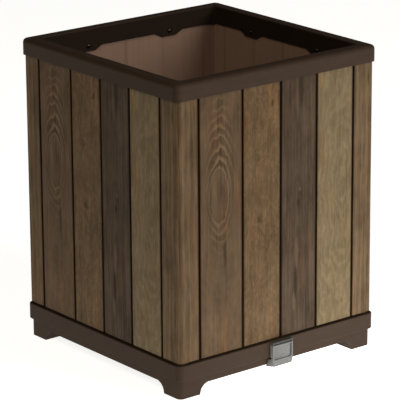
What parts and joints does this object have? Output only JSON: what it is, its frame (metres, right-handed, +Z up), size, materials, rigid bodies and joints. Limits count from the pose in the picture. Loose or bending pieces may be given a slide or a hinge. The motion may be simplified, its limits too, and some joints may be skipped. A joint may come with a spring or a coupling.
{
  "type": "planter box",
  "caption": "Tall square resin planter with wood-look walls, one-piece rim, tub base on bracket feet, raised false floor and a lever drain tap.",
  "frame": {"origin": "centre of the footprint on the ground", "axes": "+Z up, front with the drain tap towards -Y, +X to the right seen from the front"},
  "size_m": [0.456, 0.464, 0.568],
  "materials": {
    "rim_resin": "satin, dark brown",
    "wood_look_resin": "matte, wood-look boards",
    "inner_resin": "matte, black",
    "tap_resin": "satin, warm light grey",
    "screw_steel": "satin",
    "seal_rubber": "matte"
  },
  "bodies": {
    "planter": {"rim": "rim_resin", "rim_screws": "screw_steel", "corner_panel_front_left": "wood_look_resin", "corner_panel_front_right": "wood_look_resin", "corner_panel_back_right": "wood_look_resin", "corner_panel_back_left": "wood_look_resin", "base": "rim_resin", "base_screws": "screw_steel", "soil_platform": "inner_resin", "wick_cup_1": "inner_resin", "wick_cup_2": "inner_resin", "wick_cup_3": "inner_resin", "wick_cup_4": "inner_resin", "tap_body": "tap_resin", "tap_hinge_pin": "screw_steel", "tap_gasket": "seal_rubber", "tap_nut": "tap_resin"},
    "lever": {"tap_lever": "tap_resin", "tap_seal": "seal_rubber"}
  },
  "joints": [
    {"name": "tap_lever_hinge", "type": "hinge", "parent": "planter", "child": "lever", "pos_m": [0.002, -0.2334, 0.0545], "axis": [-1, 0, 0], "range_deg": [0, 75]}
  ]
}
